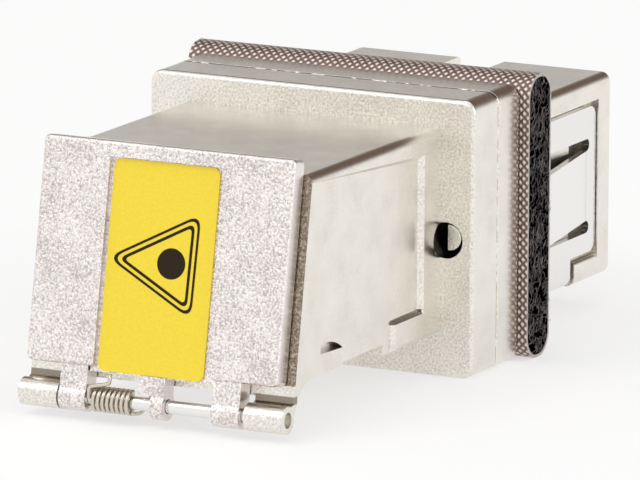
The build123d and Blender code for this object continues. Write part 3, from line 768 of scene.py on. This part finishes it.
class ADAPTER_OT_gasket(bpy.types.Operator):
    """Weave the gasket's cloth and roughen the foam at its cut ends"""
    bl_idname = "adapter.gasket"
    bl_label = "Add Gasket"

    def execute(self, context):
        cfg = context.scene.adapter_gasket
        cloth, foam = NODES["gasket_cloth"], NODES["gasket_foam"]
        self.wrap_uv(cloth)
        use(woven_cloth("woven_cloth", tuple(cfg.cloth_color), cfg.thread_pitch), cloth)
        dark = foam_surface("gasket_foam", tuple(cfg.foam_color))
        use(dark, foam)
        grey = plain("foam_fibre", (0.30, 0.26, 0.26), roughness=0.6)
        for name, side in (("left", -1), ("right", 1)):
            end = self.rough_end(f"foam_end_{name}", side, dark)
            fibres = self.fibres(f"foam_fibres_{name}", end, grey, cfg.fibre_count, FIBRE_SEED + side)
            for piece in (end, fibres):
                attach(piece, "adapter")
        return {"FINISHED"}

    def wrap_uv(self, obj):
        """UV in metres, turned by 45 degrees: along the gasket and round its section."""
        low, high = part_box("gasket_cloth")
        radius = (high[1] - low[1]) / 2
        mid_y, z_low, z_high = low[1] + radius, low[2] + radius, high[2] - radius
        layer = obj.data.uv_layers.new(name="wrap")
        for face in obj.data.polygons:
            centre = face.center
            for index in face.loop_indices:
                x, y, z = obj.data.vertices[obj.data.loops[index].vertex_index].co
                if centre.z > z_high:
                    v = z_high + radius * (math.atan2(y - mid_y, z - z_high) + math.pi / 2)
                elif centre.z < z_low:
                    v = z_low - radius * (math.atan2(y - mid_y, z_low - z) + math.pi / 2)
                elif centre.y < mid_y:
                    v = z
                else:
                    v = 2 * z_high + radius * math.pi - z
                layer.data[index].uv = ((x + v) / math.sqrt(2), (x - v) / math.sqrt(2))

    def rough_end(self, name, side, material):
        """Cut end of the foam: a stadium-shaped cap with a torn surface."""
        low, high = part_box("gasket_foam")
        face_x = high[0] if side > 0 else low[0]
        room = abs(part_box("gasket_cloth")[1][0] - high[0])
        half = (high[1] - low[1]) / 2
        mid_y = (low[1] + high[1]) / 2
        rng = random.Random(CAP_SEED + side)
        rows, columns = CAP_ROWS, CAP_COLUMNS
        points, faces = [], []
        for i in range(rows + 1):
            z = low[2] + (high[2] - low[2]) * i / rows
            past = max(low[2] + half - z, z - (high[2] - half), 0) / half
            width = half * math.sqrt(max(0.0, 1 - past * past))
            for j in range(columns + 1):
                across = 2 * j / columns - 1
                rise = 0 if abs(across) == 1 or i in (0, rows) else rng.random() ** 1.5
                dome = (1 - across * across) * min(1, (1 - past) * 3)
                out = side * room * (TEAR_SHARE * rise + DOME_SHARE * dome)
                points.append((face_x + out, mid_y + width * across, z))
        for i in range(rows):
            for j in range(columns):
                a = i * (columns + 1) + j
                quad = (a, a + 1, a + columns + 2, a + columns + 1)
                faces.append(quad if side > 0 else quad[::-1])
        mesh = bpy.data.meshes.new(name)
        mesh.from_pydata(points, [], faces)
        for face in mesh.polygons:
            face.use_smooth = True
        return add_object(name, mesh, material)

    def fibres(self, name, end, material, count, seed):
        """Short curled fibres scattered over the cut end."""
        made = Steps(name, Count="Int", Length="Float", Thickness="Float")
        source = made.source
        scatter = made.add("GeometryNodeDistributePointsOnFaces", distribute_method="RANDOM")
        scatter.inputs["Seed"].default_value = seed
        made.join(source.outputs["Geometry"], scatter.inputs["Mesh"])
        per_area = made.add("ShaderNodeMath", operation="DIVIDE")
        per_area.inputs[1].default_value = CUT_END_AREA
        made.join(source.outputs["Count"], per_area.inputs[0])
        made.join(per_area.outputs[0], scatter.inputs["Density"])
        arc = made.add("GeometryNodeCurvePrimitiveBezierSegment")
        arc.inputs["Resolution"].default_value = 6
        for socket, point in (("Start", (-0.5, 0, 0)), ("Start Handle", (-0.2, 0.5, 0.08)),
                              ("End Handle", (0.2, -0.5, 0.08)), ("End", (0.5, 0, 0))):
            scale = made.add("ShaderNodeVectorMath", operation="SCALE")
            scale.inputs[0].default_value = point
            made.join(source.outputs["Length"], scale.inputs["Scale"])
            made.join(scale.outputs[0], arc.inputs[socket])
        turn = made.add("FunctionNodeRandomValue", data_type="FLOAT_VECTOR")
        turn.inputs["Min"].default_value = (-FIBRE_TILT, -FIBRE_TILT, 0.0)
        turn.inputs["Max"].default_value = (FIBRE_TILT, FIBRE_TILT, 2 * math.pi)
        turn.inputs["Seed"].default_value = seed + 1
        euler = made.add("FunctionNodeEulerToRotation")
        made.join(turn.outputs["Value"], euler.inputs["Euler"])
        tilt = made.add("FunctionNodeRotateRotation", rotation_space="LOCAL")
        made.join(scatter.outputs["Rotation"], tilt.inputs["Rotation"])
        made.join(euler.outputs["Rotation"], tilt.inputs["Rotate By"])
        size = made.add("FunctionNodeRandomValue", data_type="FLOAT")
        size.inputs[2].default_value = FIBRE_SHORTEST
        size.inputs[3].default_value = 1.0
        size.inputs["Seed"].default_value = seed + 2
        fibre = made.wire(arc.outputs["Curve"], "Thickness", sides=3, caps=False)
        copies = made.add("GeometryNodeInstanceOnPoints")
        made.join(scatter.outputs["Points"], copies.inputs["Points"])
        made.join(fibre, copies.inputs["Instance"])
        made.join(tilt.outputs["Rotation"], copies.inputs["Rotation"])
        made.join(size.outputs[1], copies.inputs["Scale"])
        tree = made.finish(copies.outputs["Instances"], material)
        sizes = {"Count": count, "Length": FIBRE_LENGTH * MM, "Thickness": FIBRE_RADIUS * MM}
        return bake_tree(name, end.data, tree, sizes, material)


class ADAPTER_OT_stage(bpy.types.Operator):
    """Add the floor, the lights and the camera"""
    bl_idname = "adapter.stage"
    bl_label = "Add Stage"

    def execute(self, context):
        cfg = context.scene.adapter_stage
        z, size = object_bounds()[0].z - FLOOR_GAP, FLOOR_HALF
        panel = plain("floor_panel", tuple(cfg.floor_color), roughness=0.9, Specular_IOR_Level=0.1,
                      Emission_Color=(1, 1, 1, 1), Emission_Strength=cfg.floor_glow)
        corners = [(-size, -size, z), (size, -size, z), (size, size, z), (-size, size, z)]
        from_points("floor", corners, [(0, 1, 2, 3)], panel, smooth=False)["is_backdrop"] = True
        world = bpy.data.worlds.new("studio")
        context.scene.world = world
        world.use_nodes = True
        self.sky(world.node_tree, tuple(cfg.wall_color), cfg.sky_strength)
        for light in LIGHTS:
            self.light(*light)
        self.camera()
        context.scene.view_settings.view_transform = "Standard"
        return {"FINISHED"}

    def sky(self, tree, wall, strength):
        """White all round, with a dark wall high up at the back and a grey ceiling."""
        nodes, links = tree.nodes, tree.links
        background = nodes["Background"]
        background.inputs["Strength"].default_value = strength
        parts = nodes.new("ShaderNodeSeparateXYZ")
        links.new(nodes.new("ShaderNodeTexCoord").outputs["Generated"], parts.inputs[0])

        def fade(axis, start, stop, kind="LINEAR"):
            """Share that grows from zero to one along an axis."""
            share = nodes.new("ShaderNodeMapRange")
            share.interpolation_type = kind
            share.inputs["From Min"].default_value = start
            share.inputs["From Max"].default_value = stop
            links.new(parts.outputs[axis], share.inputs["Value"])
            return share.outputs["Result"]

        def mix(factor):
            """Colour mix with its factor linked."""
            made = nodes.new("ShaderNodeMix")
            made.data_type = "RGBA"
            links.new(factor, made.inputs["Factor"])
            return made

        both = nodes.new("ShaderNodeMath")
        both.operation = "MULTIPLY"
        for socket, share in zip(both.inputs, WALL_FADE):
            links.new(fade(*share, kind="SMOOTHSTEP"), socket)
        walls = mix(both.outputs[0])
        walls.inputs[6].default_value = (1, 1, 1, 1)
        walls.inputs[7].default_value = (*wall, 1)
        ceiling = mix(fade("Z", *CEILING_FADE))
        links.new(walls.outputs[2], ceiling.inputs[6])
        ceiling.inputs[7].default_value = (*CEILING_GREY, 1)
        links.new(ceiling.outputs[2], background.inputs["Color"])

    def light(self, name, place, size, power):
        """Square soft light aimed at the middle of the adapter."""
        data = bpy.data.lights.new(name, "AREA")
        data.shape = "SQUARE"
        data.size = size
        data.energy = power
        obj = bpy.data.objects.new(name, data)
        obj.location = place
        obj.rotation_mode = "QUATERNION"
        obj.rotation_quaternion = (-Vector(place)).to_track_quat("-Z", "Y")
        bpy.context.scene.collection.objects.link(obj)

    def camera(self):
        """Long lens from the front right, a little above."""
        azimuth, elevation, roll = (math.radians(angle) for angle in (AZIMUTH, ELEVATION, ROLL))
        level = Vector((-math.sin(azimuth), math.cos(azimuth), 0))
        ahead = level * math.cos(elevation) - Vector((0, 0, math.sin(elevation)))
        right = Vector((math.cos(azimuth), math.sin(azimuth), 0))
        up = right.cross(ahead)
        right, up = (right * math.cos(roll) + up * math.sin(roll),
                     up * math.cos(roll) - right * math.sin(roll))
        data = bpy.data.cameras.new("camera")
        data.lens, data.sensor_width = LENS, SENSOR
        data.clip_start, data.clip_end = 0.01, 10
        obj = bpy.data.objects.new("camera", data)
        turned = Matrix((right, up, -ahead)).transposed().to_4x4()
        obj.matrix_world = Matrix.Translation(LOOK_AT - ahead * DISTANCE) @ turned
        bpy.context.scene.collection.objects.link(obj)
        bpy.context.scene.camera = obj


# ------------------------------------------------------------------ panel and registration
OPERATORS = (ADAPTER_OT_metal, ADAPTER_OT_port_parts, ADAPTER_OT_flexures, ADAPTER_OT_label,
             ADAPTER_OT_spring, ADAPTER_OT_gasket, ADAPTER_OT_stage)
SETTINGS = {
    "adapter_metal": AdapterMetalSettings,
    "adapter_gasket": AdapterGasketSettings,
    "adapter_shutter": AdapterShutterSettings,
    "adapter_stage": AdapterStageSettings,
}


class ADAPTER_PT_sidebar(bpy.types.Panel):
    """Settings and steps of the adapter"""
    bl_idname = "ADAPTER_PT_sidebar"
    bl_label = "Fibre Adapter"
    bl_space_type = "VIEW_3D"
    bl_region_type = "UI"
    bl_category = "Adapter"

    def draw(self, context):
        for name, group in SETTINGS.items():
            box = self.layout.box()
            for key in group.__annotations__:
                box.prop(getattr(context.scene, name), key)
        for operator in OPERATORS:
            self.layout.operator(operator.bl_idname)


def register():
    for group in SETTINGS.values():
        bpy.utils.register_class(group)
    for name, group in SETTINGS.items():
        setattr(bpy.types.Scene, name, PointerProperty(type=group))
    for item in (*OPERATORS, ADAPTER_PT_sidebar):
        bpy.utils.register_class(item)


def unregister():
    for item in (ADAPTER_PT_sidebar, *reversed(OPERATORS)):
        bpy.utils.unregister_class(item)
    for name in SETTINGS:
        delattr(bpy.types.Scene, name)
    for group in SETTINGS.values():
        bpy.utils.unregister_class(group)


def main():
    register()
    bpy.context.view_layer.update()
    for operator in OPERATORS:
        group, name = operator.bl_idname.split(".")
        getattr(getattr(bpy.ops, group), name)()


if __name__ == "__main__":
    main()
